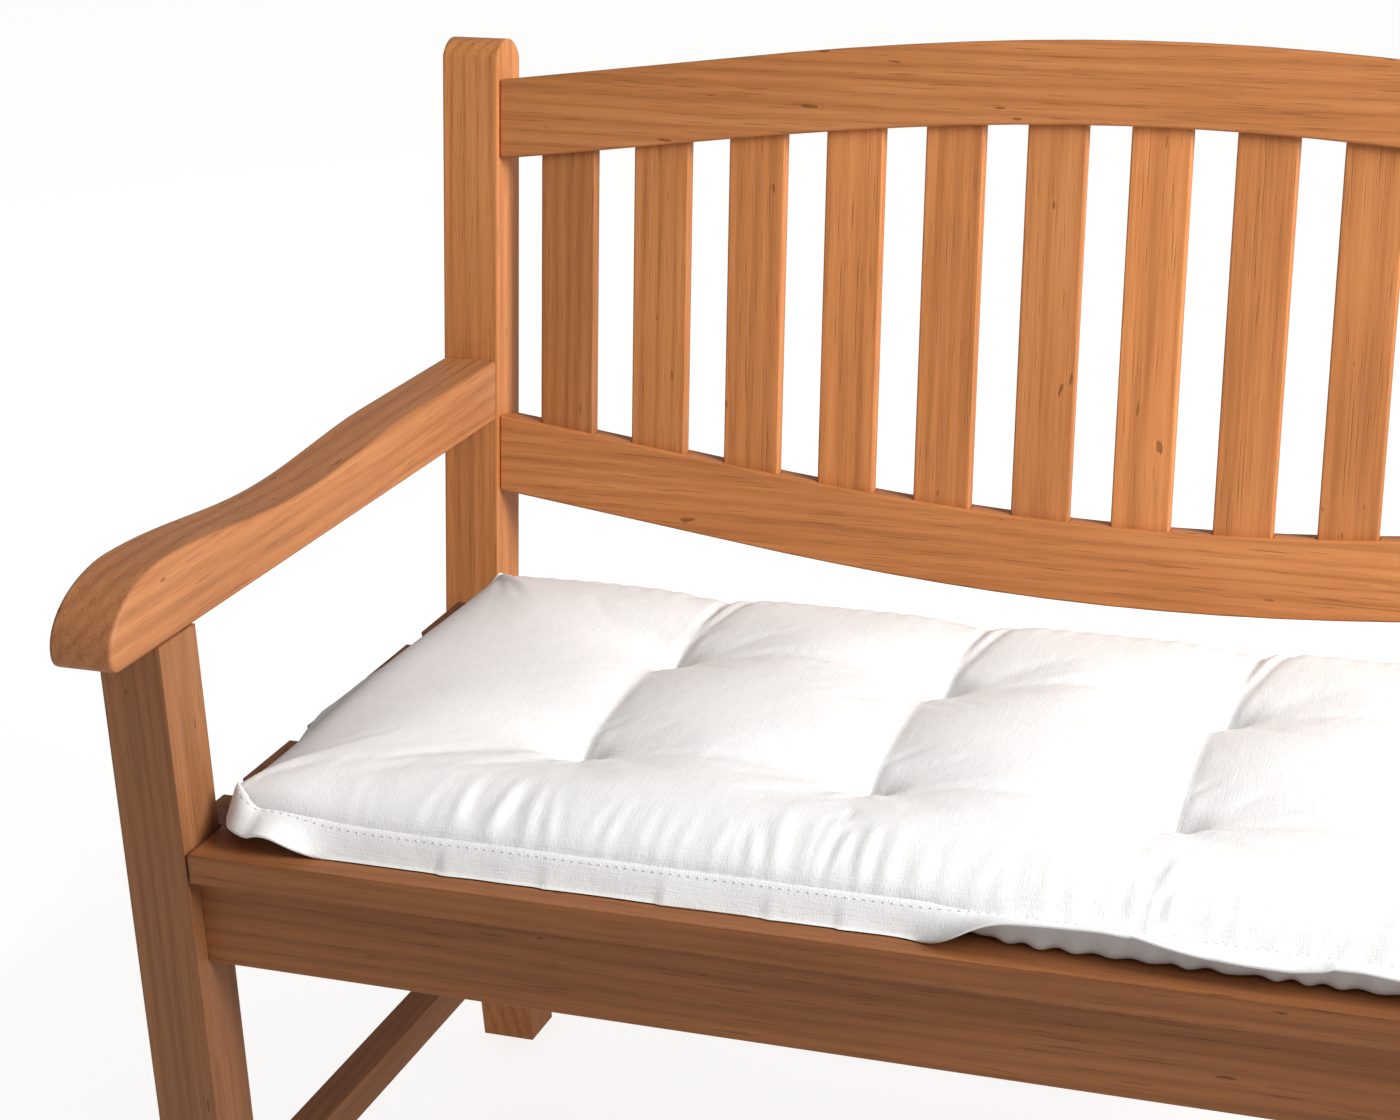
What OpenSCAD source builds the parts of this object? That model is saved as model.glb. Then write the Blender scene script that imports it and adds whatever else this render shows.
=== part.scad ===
// Garden bench: a raked, slatted back between two bowed rails, waved arms and a loose tufted cushion.
// Origin: on the ground, in the middle of the bench. +X is the bench's length, +Y its back, +Z up.

/* [Overall] */
// Length over the outer faces of the legs
bench_len = 1200; // [1000:10:1400]
// Height of the seat slats' upper faces above the ground
seat_h = 445; // [420:1:480]
// Distance from the front leg's front face to the back post's front face at its bend
frame_d = 506; // [440:1:620]
// Height of the back post's shoulder, below its rounded end
post_h = 887; // [740:1:1070]

/* [Legs and posts] */
// Width of every leg, along the bench
leg_w = 48; // [40:0.5:60]
// Depth of the front leg
leg_d = 48; // [40:0.5:60]
// Depth of the back post
post_d = 45; // [40:0.5:56]
// Slope of the back, away from upright
rake = 9; // [0:0.5:14]
// Height of the bend in the rear leg
bend_h = 330; // [280:1:335]
// How far the rear foot stands behind the bend
foot_kick = 26; // [0:1:60]
// Rise of the rounded end of the back post
post_crown = 15; // [6:0.5:20]

/* [Back] */
// Height of the two back rails
rail_h = 64; // [50:1:80]
// Thickness of the two back rails
rail_t = 28; // [24:0.5:34]
// How far the back rails lie behind the post's front face
rail_recess = 5; // [1:0.5:8]
// Rise of the top rail's bow, and fall of the lower rail's
rail_bow = 50; // [0:1:70]
// Distance along the post from its shoulder down to the end of the top rail
top_rail_drop = 17.5; // [5:0.5:60]
// Distance along the post from its bend up to the end of the lower rail's upper edge
low_rail_rise = 269; // [245:1:300]
// Width of a back slat
slat_w = 47.5; // [35:0.5:58]
// Thickness of a back slat
slat_t = 12; // [9:0.5:16]
// How far the back slats lie behind the rails' front faces
slat_setback = 7.5; // [4:0.5:8]
// How deep a back slat is let into each rail
slat_tenon = 12; // [8:0.5:16]

/* [Arms] */
// Height of the arm's underside over the front leg
arm_h = 600; // [560:1:660]
// How much lower the arm's underside is at the back post
arm_fall = 7; // [0:0.5:15]
// How far the arm's nose stands in front of the leg
arm_nose = 56; // [30:1:80]
// Thickness of the arm at its crest over the leg
arm_crest_t = 56.5; // [46:0.5:65]
// Thickness of the arm at its thinnest
arm_waist_t = 41.5; // [34:0.5:44]
// Thickness of the arm's second, lower crest
arm_rear_t = 50; // [45:0.5:56]

/* [Seat] */
// Height of the rails under the seat
seat_rail_h = 70; // [55:1:80]
// Thickness of the seat's front and rear rails
apron_t = 24; // [20:0.5:28]
// How far the front rail lies behind the leg's front face
apron_recess = 14.5; // [8:0.5:16]
// Thickness of the seat's side and middle rails
side_rail_t = 28; // [22:0.5:32]
// How far the side rail lies inside the leg's outer face
side_rail_inset = 22; // [16:0.5:26]
// Thickness of a seat slat
seat_slat_t = 22; // [16:0.5:26]
// Width of the front seat slat, which is notched around the legs
front_slat_w = 96; // [90:1:110]
// Gap between seat slats
seat_gap = 28; // [8:1:36]
// Gap between the last seat slat and the rear leg's bend
rear_slat_gap = 10; // [4:1:30]
// How far the seat slats' ends lie inside the leg's outer face
seat_slat_inset = 25; // [20:0.5:35]

/* [Stretchers] */
// Height of the side stretcher's upper face
stretcher_top = 125; // [90:1:200]
// Height of the side stretcher's section
stretcher_h = 31; // [26:0.5:45]
// Width of the side stretcher's section
stretcher_w = 28; // [24:0.5:34]
// How far the stretcher lies inside the leg's outer face
stretcher_inset = 6; // [4:0.5:10]

/* [Joinery] */
// Length of the tenons on the seat rails, stretchers and arms
tenon_len = 12; // [8:0.5:12]
// Length of the tenons on the back rails
back_tenon_len = 25; // [15:0.5:30]
// Clearance between a tenon, dowel or pin and its hole, on every side
fit_gap = 0.15; // [0.05:0.05:0.3]
// Diameter of the dowels between leg and arm
dowel_d = 10; // [8:0.5:12]
// Diameter of the pins through the tenons
pin_d = 8; // [6:0.5:8]
// Diameter of the wooden plugs over the seat screws
plug_d = 10; // [9:0.5:12]
// Diameter of the seat screws' shanks
screw_d = 4; // [3:0.5:5]

/* [Cushion] */
// Thickness of the cushion
cushion_t = 46; // [30:1:70]
// Clearance between the cushion's ends and the legs
cushion_gap = 3; // [1:0.5:20]
// Distance from the front leg's front face back to the cushion's front edge
cushion_front = 14; // [5:1:60]
// Depth of the cushion, front to back
cushion_d = 488; // [380:1:492]

/* [Hidden] */
BACK_SLATS = 13;
SEAT_SLATS = 5;
SHOULDER = 10;      // height of the shoulder above and below a tenon
HOLE_END = 0.5;     // free depth at the bottom of a mortise or a drilled hole
DOWEL_HALF = 24;    // how far a dowel reaches into the leg and into the arm
PLUG_T = 6;         // thickness of a plug
SCREW_HEAD_D = 8;
SCREW_HEAD_H = 3;
SCREW_BITE = 24;    // how far a screw reaches into its rail
CUSHION_LIFT = 0.5; // air under the cushion
CUSHION_ROUND = 17; // radius of the cushion's corners, seen from above
CUSHION_RIM = 10;   // height of the cushion's widest part above its underside
CUSHION_FOOT = 4;   // how far the cushion's underside lies inside its rim
CUSHION_SLOPE = 45; // how far the cushion's flat top lies inside its rim
STRETCHER_SHOULDER = 5;
CORE_RUN = 20;      // how far a back rail's tenon bar runs on inside the rail
PIN_STOP = 4;       // wood left between a side pin and the leg's inner face
REAR_RAIL_BACK = 20; // how far the rear seat rail lies behind the bend's front face
NOTCH_GAP = 2;      // clearance of the front slat's notches around the legs
DOWEL_SHARES = [0.28, 0.72]; // places of the two dowels, as shares of the leg's depth
BOW_FLATNESS = 0.38; // how much straighter a bowed rail is near its ends than a parabola
ARM_CREST = 21;     // distance from the front leg's front face back to the arm's crest
ARM_WAIST = 226;    // the same, back to the arm's thinnest place
ARM_REAR = 401;     // the same, back to the arm's second crest
NOSE_LOW = 12;      // height of the arm's foremost point above its underside
HEEL_R = 9;         // radius under the arm's nose
NOSE_STEPS = 15;
WAVE_STEPS = 36;
HEEL_STEPS = 6;

half_len = bench_len / 2;
inner = half_len - leg_w;
leg_x = half_len - leg_w / 2;

post_run = (post_h - bend_h) / cos(rake);
depth_behind_bend = post_d * cos(rake) + post_run * sin(rake);
bench_d = arm_nose + frame_d + depth_behind_bend;
front_y = arm_nose - bench_d / 2;
leg_rear_y = front_y + leg_d;
bend_y = front_y + frame_d;
kick_angle = atan(foot_kick / bend_h);

top_rail_end = post_run - top_rail_drop;
slat_gap = (2 * inner - BACK_SLATS * slat_w) / (BACK_SLATS + 1);
slat_y = rail_recess + slat_setback;

seat_under = seat_h - seat_slat_t;
seat_rail_low = seat_under - seat_rail_h;
apron_y = front_y + apron_recess;
rear_rail_y = bend_y + REAR_RAIL_BACK;
seat_slat_first = front_y + front_slat_w + seat_gap;
seat_slat_last = bend_y - rear_slat_gap;
seat_slat_w = (seat_slat_last - seat_slat_first - (SEAT_SLATS - 2) * seat_gap) / (SEAT_SLATS - 1);
side_rail_x = half_len - side_rail_inset - side_rail_t / 2;
stretcher_x = half_len - stretcher_inset - stretcher_w / 2;
tenon_t = 10;

// Front face of the rear leg at height z: leaning back above the bend, kicked back below it.
function post_front(z) =
    z >= bend_h ? bend_y + (z - bend_h) * tan(rake) : bend_y + (bend_h - z) * foot_kick / bend_h;

// How far a bowed rail has left its crest at x: round in the middle and nearly straight at its ends.
function camber(x) =
    rail_bow * ((1 + BOW_FLATNESS) * pow(x / inner, 2) - BOW_FLATNESS * pow(x / inner, 4));
function top_edge(x) = top_rail_end + rail_bow - camber(x);
function low_edge(x) = low_rail_rise - rail_bow + camber(x);

function back_slat_x(i) = -inner + slat_gap * i + slat_w * (i - 0.5);
function seat_slat_y(i) = i == 1 ? front_y : seat_slat_first + (i - 2) * (seat_slat_w + seat_gap);
function seat_slat_end(i) = i == 1 ? front_y + front_slat_w : seat_slat_y(i) + seat_slat_w;

// The arm's outline: a level underside, a round nose, a crest, a waist and a second crest.
arm_crest_y = front_y + ARM_CREST;
arm_waist_y = front_y + ARM_WAIST;
arm_rear_y = front_y + ARM_REAR;
function arm_under(y) = arm_h - (y - front_y) * arm_fall / frame_d;
function ease(a, b, t) = a + (b - a) * (1 - cos(180 * t)) / 2;
function arm_thick(y) =
    y < arm_waist_y
        ? ease(arm_crest_t, arm_waist_t, (y - arm_crest_y) / (arm_waist_y - arm_crest_y))
        : ease(arm_waist_t, arm_rear_t, min(1, (y - arm_waist_y) / (arm_rear_y - arm_waist_y)));
function arm_nose_point(a) = [
    arm_crest_y - (arm_crest_y - front_y + arm_nose) * cos(a),
    arm_under(arm_crest_y) + NOSE_LOW + (arm_crest_t - NOSE_LOW) * sin(a)
];
// Where a height on the arm's rear end meets the raked post.
arm_rear_low = arm_under(post_front(arm_h));
arm_rear_top = arm_rear_low + arm_rear_t;

// A bar whose side outline is drawn in [y, z] points, from x0 to x1.
module side_bar(points, x0, x1) {
    translate([x0, 0, 0])
        rotate([90, 0, 90])
            linear_extrude(height = x1 - x0)
                polygon(points);
}

// A box given by its low corner and its high corner.
module block(low, high) {
    translate(low)
        cube(high - low);
}

// The frame of the raked back: x along the bench, y behind the post's front face, z up the slope.
module on_back() {
    translate([0, bend_y, bend_h])
        rotate([-rake, 0, 0])
            children();
}

module both_sides() {
    children();
    mirror([1, 0, 0])
        children();
}

// Tenon bars. Each runs right through its rail; grow turns it into the mortise it fits.
module side_core(x, half_t, low, high, grow) {
    ends = grow > 0 ? HOLE_END : 0;
    z0 = low - grow;
    z1 = high + grow;
    side_bar(
        [[leg_rear_y - tenon_len - ends, z0], [post_front(z0) + tenon_len + ends, z0],
         [post_front(z1) + tenon_len + ends, z1], [leg_rear_y - tenon_len - ends, z1]],
        x - half_t - grow, x + half_t + grow);
}

module side_rail_core(grow = 0) {
    side_core(-side_rail_x, tenon_t / 2, seat_rail_low + SHOULDER, seat_under - SHOULDER, grow);
}

module stretcher_core(grow = 0) {
    side_core(-stretcher_x, tenon_t / 2, stretcher_top - stretcher_h + STRETCHER_SHOULDER,
        stretcher_top - STRETCHER_SHOULDER, grow);
}

module long_core(y, grow) {
    reach = inner + tenon_len + (grow > 0 ? HOLE_END : 0);
    mid = y + apron_t / 2;
    block(
        [-reach, mid - tenon_t / 2 - grow, seat_rail_low + SHOULDER - grow],
        [reach, mid + tenon_t / 2 + grow, seat_under - SHOULDER + grow]);
}

module middle_core(grow = 0) {
    ends = grow > 0 ? HOLE_END : 0;
    block(
        [-tenon_t / 2 - grow, apron_y + apron_t - tenon_len - ends, seat_rail_low + SHOULDER - grow],
        [tenon_t / 2 + grow, rear_rail_y + tenon_len + ends, seat_under - SHOULDER + grow]);
}

module back_rail_tenon(end_z, grow = 0) {
    mid = rail_recess + rail_t / 2;
    reach = inner + back_tenon_len + (grow > 0 ? HOLE_END : 0);
    block(
        [-reach, mid - tenon_t / 2 - grow, end_z - rail_h + SHOULDER - grow],
        [-inner + CORE_RUN, mid + tenon_t / 2 + grow, end_z - SHOULDER + grow]);
}

module arm_tenon(grow = 0) {
    z0 = arm_rear_low + SHOULDER - grow;
    z1 = arm_rear_top - SHOULDER + grow;
    run = tenon_len + (grow > 0 ? HOLE_END : 0);
    side_bar(
        [[post_front(z0) - tenon_len, z0], [post_front(z0) + run, z0],
         [post_front(z1) + run, z1], [post_front(z1) - tenon_len, z1]],
        -leg_x - tenon_t / 2 - grow, -leg_x + tenon_t / 2 + grow);
}

module leg_dowels(grow = 0) {
    for (share = DOWEL_SHARES)
        translate([-leg_x, front_y + leg_d * share, arm_h - DOWEL_HALF - (grow > 0 ? HOLE_END : 0)])
            cylinder(d = dowel_d + 2 * grow, h = 2 * (DOWEL_HALF + (grow > 0 ? HOLE_END : 0)), $fn = 48);
}

// A pin let in from the leg's outer face, through a side rail's or stretcher's tenon.
module side_pin(y, z, grow) {
    translate([-half_len - grow, y, z])
        rotate([0, 90, 0])
            cylinder(d = pin_d + 2 * grow, h = leg_w - PIN_STOP + 2 * grow, $fn = 48);
}

module front_pins(grow = 0) {
    side_pin(leg_rear_y - tenon_len / 2, seat_rail_low + seat_rail_h / 2, grow);
    side_pin(leg_rear_y - tenon_len / 2, stretcher_top - stretcher_h / 2, grow);
}

module rear_pins(grow = 0) {
    for (z = [seat_rail_low + seat_rail_h / 2, stretcher_top - stretcher_h / 2])
        side_pin(post_front(z) + tenon_len / 2, z, grow);
}

// A pin let in from the back of the post, through a back rail's tenon.
module back_pins(grow = 0) {
    depth = post_d - rail_recess;
    for (z = [top_rail_end, low_rail_rise])
        on_back()
            translate([-inner - back_tenon_len / 2, post_d + grow, z - rail_h / 2])
                rotate([90, 0, 0])
                    cylinder(d = pin_d + 2 * grow, h = depth + 2 * grow, $fn = 48);
}

// Rows of screws across the bench: one in the notched front slat, two in each of the others.
module at_screws(i) {
    ys = i == 1
        ? [(leg_rear_y + seat_slat_end(1)) / 2]
        : [seat_slat_y(i) + seat_slat_w / 4, seat_slat_end(i) - seat_slat_w / 4];
    for (y = ys, x = [-side_rail_x, 0, side_rail_x])
        translate([x, y, seat_h])
            children();
}

module screw(grow = 0) {
    translate([0, 0, -PLUG_T - SCREW_HEAD_H]) {
        cylinder(d1 = screw_d + 2 * grow, d2 = SCREW_HEAD_D + 2 * grow, h = SCREW_HEAD_H, $fn = 48);
        mirror([0, 0, 1])
            cylinder(d = screw_d + 2 * grow, h = seat_slat_t - PLUG_T - SCREW_HEAD_H + SCREW_BITE + grow,
                $fn = 48);
    }
}

module plug(grow = 0) {
    translate([0, 0, -PLUG_T])
        cylinder(d = plug_d + 2 * grow, h = PLUG_T + grow, $fn = 48);
}

module seat_slat_holes(i) {
    at_screws(i) {
        screw(fit_gap);
        plug(fit_gap);
    }
}

module front_leg() {
    color("peru")
        difference() {
            side_bar(
                [[front_y, 0], [leg_rear_y, 0], [leg_rear_y, arm_under(leg_rear_y)],
                 [front_y, arm_under(front_y)]],
                -half_len, -inner);
            side_rail_core(fit_gap);
            stretcher_core(fit_gap);
            long_core(apron_y, fit_gap);
            leg_dowels(fit_gap);
            front_pins(fit_gap);
        }
}

module rear_leg() {
    fold = (rake + kick_angle) / 2;
    tilt = (rake - kick_angle) / 2;
    crown_r = (pow(post_d / 2, 2) + pow(post_crown, 2)) / (2 * post_crown);
    color("peru")
        difference() {
            union() {
                side_bar(
                    [[bend_y + foot_kick, 0], [bend_y + foot_kick + post_d / cos(kick_angle), 0],
                     [bend_y + post_d / cos(fold) * cos(tilt), bend_h - post_d / cos(fold) * sin(tilt)],
                     [bend_y + depth_behind_bend, post_h - post_d * sin(rake)],
                     [post_front(post_h), post_h], [bend_y, bend_h]],
                    -half_len, -inner);
                on_back()
                    translate([-half_len, 0, 0])
                        rotate([90, 0, 90])
                            linear_extrude(height = leg_w)
                                intersection() {
                                    translate([post_d / 2, post_run + post_crown - crown_r])
                                        circle(r = crown_r, $fn = 96);
                                    translate([0, post_run - 1])
                                        square([post_d, crown_r]);
                                }
            }
            side_rail_core(fit_gap);
            stretcher_core(fit_gap);
            long_core(rear_rail_y, fit_gap);
            arm_tenon(fit_gap);
            rear_pins(fit_gap);
            back_pins(fit_gap);
            on_back() {
                back_rail_tenon(top_rail_end, fit_gap);
                back_rail_tenon(low_rail_rise, fit_gap);
            }
        }
}

module arm() {
    nose = [for (k = [0 : NOSE_STEPS]) arm_nose_point(90 * k / NOSE_STEPS)];
    wave = [for (k = [0 : WAVE_STEPS])
        let (y = arm_crest_y + (post_front(arm_rear_top) - arm_crest_y) * k / WAVE_STEPS)
            [y, k == WAVE_STEPS ? arm_rear_top : arm_under(y) + arm_thick(y)]];
    heel = [for (k = [HEEL_STEPS : -1 : 0])
        let (a = 180 + 90 * k / HEEL_STEPS)
            [front_y - arm_nose + HEEL_R * (1 + cos(a)),
             arm_under(front_y - arm_nose) + HEEL_R * (1 + sin(a))]];
    color("peru")
        difference() {
            union() {
                side_bar(
                    concat(nose, wave, [[post_front(arm_rear_low), arm_rear_low]], heel),
                    -half_len, -inner);
                arm_tenon();
            }
            leg_dowels(fit_gap);
        }
}

// A bowed rail in the back's frame, from its upper edge down, with mortises for the slats.
module back_rail(edge_points, end_z) {
    color("peru")
        on_back()
            difference() {
                union() {
                    translate([0, rail_recess + rail_t, 0])
                        rotate([90, 0, 0])
                            linear_extrude(height = rail_t)
                                polygon(edge_points);
                    both_sides()
                        back_rail_tenon(end_z);
                }
                for (i = [1 : BACK_SLATS])
                    slat_block(i, fit_gap);
                both_sides()
                    rotate([rake, 0, 0])
                        translate([0, -bend_y, -bend_h])
                            back_pins(fit_gap);
            }
}

RAIL_STEPS = 48;
function rail_xs() = [for (k = [0 : RAIL_STEPS]) inner * (2 * k / RAIL_STEPS - 1)];

module top_rail() {
    upper = [for (x = rail_xs()) [x, top_edge(x)]];
    lower = [for (x = rail_xs()) [-x, top_edge(x) - rail_h]];
    back_rail(concat(upper, lower), top_rail_end);
}

module lower_back_rail() {
    upper = [for (x = rail_xs()) [x, low_edge(x)]];
    lower = [for (x = rail_xs()) [-x, low_edge(x) - rail_h]];
    back_rail(concat(upper, lower), low_rail_rise);
}

module slat_block(i, grow = 0) {
    x = back_slat_x(i);
    ends = slat_tenon + (grow > 0 ? HOLE_END : 0);
    block(
        [x - slat_w / 2 - grow, slat_y - grow, low_edge(x) - ends],
        [x + slat_w / 2 + grow, slat_y + slat_t + grow, top_edge(x) - rail_h + ends]);
}

module back_slat(i) {
    color("sandybrown")
        on_back()
            slat_block(i);
}

module long_rail(y) {
    color("peru")
        difference() {
            union() {
                block([-inner, y, seat_rail_low], [inner, y + apron_t, seat_under]);
                long_core(y, 0);
            }
            middle_core(fit_gap);
        }
}

module front_apron() {
    long_rail(apron_y);
}

module rear_seat_rail() {
    long_rail(rear_rail_y);
}

module side_seat_rail() {
    color("peru")
        difference() {
            union() {
                side_bar(
                    [[leg_rear_y, seat_rail_low], [post_front(seat_rail_low), seat_rail_low],
                     [post_front(seat_under), seat_under], [leg_rear_y, seat_under]],
                    -side_rail_x - side_rail_t / 2, -side_rail_x + side_rail_t / 2);
                side_rail_core();
            }
            for (i = [1 : SEAT_SLATS])
                at_screws(i)
                    screw(fit_gap);
            front_pins(fit_gap);
            rear_pins(fit_gap);
        }
}

module middle_seat_rail() {
    color("peru")
        difference() {
            union() {
                block(
                    [-side_rail_t / 2, apron_y + apron_t, seat_rail_low],
                    [side_rail_t / 2, rear_rail_y, seat_under]);
                middle_core();
            }
            for (i = [1 : SEAT_SLATS])
                at_screws(i)
                    screw(fit_gap);
        }
}

module side_stretcher() {
    low = stretcher_top - stretcher_h;
    color("peru")
        difference() {
            union() {
                side_bar(
                    [[leg_rear_y, low], [post_front(low), low],
                     [post_front(stretcher_top), stretcher_top], [leg_rear_y, stretcher_top]],
                    -stretcher_x - stretcher_w / 2, -stretcher_x + stretcher_w / 2);
                stretcher_core();
            }
            front_pins(fit_gap);
            rear_pins(fit_gap);
        }
}

module seat_slat(i) {
    reach = half_len - seat_slat_inset;
    color("sandybrown")
        difference() {
            block([-reach, seat_slat_y(i), seat_under], [reach, seat_slat_end(i), seat_h]);
            if (i == 1)
                both_sides()
                    block(
                        [-half_len, front_y - 1, seat_under - 1],
                        [-inner + NOTCH_GAP, leg_rear_y + NOTCH_GAP, seat_h + 1]);
            seat_slat_holes(i);
        }
}

module arm_dowels() {
    color("burlywood")
        both_sides()
            leg_dowels();
}

module tenon_pins() {
    color("burlywood")
        both_sides() {
            front_pins();
            rear_pins();
            back_pins();
        }
}

module seat_screws() {
    color("silver")
        for (i = [1 : SEAT_SLATS])
            at_screws(i)
                screw();
}

module seat_plugs() {
    color("burlywood")
        for (i = [1 : SEAT_SLATS])
            at_screws(i)
                plug();
}

// The cushion's plain outer shape: a flat pad with rounded edges, thinner at its rim than in its middle.
module cushion() {
    half = inner - cushion_gap;
    y0 = front_y + cushion_front;
    z0 = seat_h + CUSHION_LIFT;
    plate = 2;
    color("white")
        hull() {
            translate([0, 0, z0])
                rounded_plate(
                    half - CUSHION_FOOT, y0 + CUSHION_FOOT, y0 + cushion_d - CUSHION_FOOT, plate);
            translate([0, 0, z0 + CUSHION_RIM])
                rounded_plate(half, y0, y0 + cushion_d, 4 * plate);
            translate([0, 0, z0 + cushion_t - plate])
                rounded_plate(
                    half - CUSHION_SLOPE, y0 + CUSHION_SLOPE, y0 + cushion_d - CUSHION_SLOPE, plate);
        }
}

module rounded_plate(half, y0, y1, h) {
    for (x = [-half + CUSHION_ROUND, half - CUSHION_ROUND], y = [y0 + CUSHION_ROUND, y1 - CUSHION_ROUND])
        translate([x, y, 0])
            cylinder(r = CUSHION_ROUND, h = h, $fn = 32);
}

module right_side() {
    mirror([1, 0, 0])
        children();
}

front_leg();  // front_leg_left
right_side() front_leg();  // front_leg_right
rear_leg();  // rear_leg_left
right_side() rear_leg();  // rear_leg_right
arm();  // arm_left
right_side() arm();  // arm_right
top_rail();
lower_back_rail();
back_slat(1);  // back_slat_01
back_slat(2);  // back_slat_02
back_slat(3);  // back_slat_03
back_slat(4);  // back_slat_04
back_slat(5);  // back_slat_05
back_slat(6);  // back_slat_06
back_slat(7);  // back_slat_07
back_slat(8);  // back_slat_08
back_slat(9);  // back_slat_09
back_slat(10);  // back_slat_10
back_slat(11);  // back_slat_11
back_slat(12);  // back_slat_12
back_slat(13);  // back_slat_13
front_apron();
rear_seat_rail();
side_seat_rail();  // side_seat_rail_left
right_side() side_seat_rail();  // side_seat_rail_right
middle_seat_rail();
seat_slat(1);  // seat_slat_1
seat_slat(2);  // seat_slat_2
seat_slat(3);  // seat_slat_3
seat_slat(4);  // seat_slat_4
seat_slat(5);  // seat_slat_5
side_stretcher();  // side_stretcher_left
right_side() side_stretcher();  // side_stretcher_right
arm_dowels();
tenon_pins();
seat_screws();
seat_plugs();
cushion();
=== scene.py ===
"""A garden bench with a tufted seat cushion: finishes, soft goods, light and camera."""

import math

import bpy
import numpy as np
from mathutils import Matrix, Vector


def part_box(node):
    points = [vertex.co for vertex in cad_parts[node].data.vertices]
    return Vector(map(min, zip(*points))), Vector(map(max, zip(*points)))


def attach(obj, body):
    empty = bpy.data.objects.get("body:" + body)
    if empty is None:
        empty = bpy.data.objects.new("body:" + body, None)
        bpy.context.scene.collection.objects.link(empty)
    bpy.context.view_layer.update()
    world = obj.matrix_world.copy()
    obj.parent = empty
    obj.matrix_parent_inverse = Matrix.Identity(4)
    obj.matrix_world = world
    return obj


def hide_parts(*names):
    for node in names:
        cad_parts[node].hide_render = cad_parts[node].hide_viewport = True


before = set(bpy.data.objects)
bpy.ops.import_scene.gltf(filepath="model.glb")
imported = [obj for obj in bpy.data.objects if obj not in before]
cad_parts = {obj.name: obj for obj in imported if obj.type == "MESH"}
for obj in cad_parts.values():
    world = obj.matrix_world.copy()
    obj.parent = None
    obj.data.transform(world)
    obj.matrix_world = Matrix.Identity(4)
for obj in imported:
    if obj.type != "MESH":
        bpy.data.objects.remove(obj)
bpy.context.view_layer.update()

# ---------------------------------------------------------------- sizes, in metres and radians

RAKE = math.radians(9)                # lean of the back slats and the upper posts

CAMERA_PLACE = (0.4308, -1.8022, 1.3002)
CAMERA_YAW = -0.3202
CAMERA_PITCH = 0.4054
CAMERA_ROLL = -0.0200
CAMERA_LENS = 71.85                   # mm
CAMERA_SENSOR = 36                    # width in mm
CAMERA_SHIFT = (-0.10, 0.10)

# Radius that each kind of board is rounded to, by the start of its node's name.
ARRIS = {
    "seat_slat": 0.0045,
    "back_slat": 0.0018,
    "arm_left": 0.0035,
    "arm_right": 0.0035,
    "front_leg": 0.0025,
    "rear_leg": 0.0025,
    "top_rail": 0.0025,
    "lower_back_rail": 0.0020,
    "side_stretcher": 0.0020,
    "front_apron": 0.0015,
    "rear_seat_rail": 0.0015,
    "side_seat_rail": 0.0015,
    "middle_seat_rail": 0.0015,
}

# Boards with holes in their faces: their arrises are rounded by the material alone.
DRILLED = ("front_leg", "rear_leg", "seat_slat")

# Wood tones as linear colours: dark streak, body, light streak.
HONEY = ((0.330, 0.115, 0.034), (0.500, 0.186, 0.057), (0.610, 0.250, 0.087))
CHESTNUT = ((0.190, 0.066, 0.020), (0.300, 0.108, 0.034), (0.380, 0.145, 0.050))
TAN = ((0.250, 0.094, 0.034), (0.380, 0.152, 0.058), (0.470, 0.205, 0.086))


# ---------------------------------------------------------------- material nodes

def new_material(name):
    """An empty node material: (material, nodes, links, its Principled shader)."""
    material = bpy.data.materials.new(name)
    material.use_nodes = True
    nodes = material.node_tree.nodes
    return material, nodes, material.node_tree.links, nodes["Principled BSDF"]


def plug_in(links, socket, value):
    """Sets a socket to a number or colour, or links another socket to it."""
    if isinstance(value, (int, float)):
        socket.default_value = value
    elif isinstance(value, tuple):
        socket.default_value = (*value, 1.0)
    else:
        links.new(value, socket)


def reckon(nodes, links, operation, *values):
    """A Math node over sockets or numbers. Returns its output."""
    node = nodes.new("ShaderNodeMath")
    node.operation = operation
    for socket, value in zip(node.inputs, values):
        plug_in(links, socket, value)
    return node.outputs[0]


def scaled(nodes, links, vector, scale):
    """The vector stretched by scale, a triple."""
    node = nodes.new("ShaderNodeVectorMath")
    node.operation = "MULTIPLY"
    node.inputs[1].default_value = scale
    links.new(vector, node.inputs[0])
    return node.outputs[0]


def noise_value(nodes, links, vector, scale, detail=2.0, roughness=0.5):
    """Noise between about 0 and 1 over a vector stretched by scale."""
    node = nodes.new("ShaderNodeTexNoise")
    node.inputs["Scale"].default_value = 1.0
    node.inputs["Detail"].default_value = detail
    node.inputs["Roughness"].default_value = roughness
    links.new(scaled(nodes, links, vector, scale), node.inputs["Vector"])
    return node.outputs["Fac"]


def ramp(nodes, links, factor, stops):
    """A colour ramp over (position, linear colour) stops. Returns its colour output."""
    node = nodes.new("ShaderNodeValToRGB")
    elements = node.color_ramp.elements
    while len(elements) < len(stops):
        elements.new(0.5)
    for element, (position, colour) in zip(elements, stops):
        element.position = position
        element.color = (*colour, 1.0)
    links.new(factor, node.inputs[0])
    return node.outputs[0]


def ranged(nodes, links, value, low, high, to_low, to_high):
    """The value mapped from low..high to to_low..to_high, and held at the ends."""
    node = nodes.new("ShaderNodeMapRange")
    for socket, number in zip(list(node.inputs)[1:5], (low, high, to_low, to_high)):
        socket.default_value = number
    links.new(value, node.inputs[0])
    return node.outputs[0]


# Places of the colour sockets on a Mix node, whose sockets share names.
MIX_FIRST, MIX_SECOND, MIX_RESULT = 6, 7, 2


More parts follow.
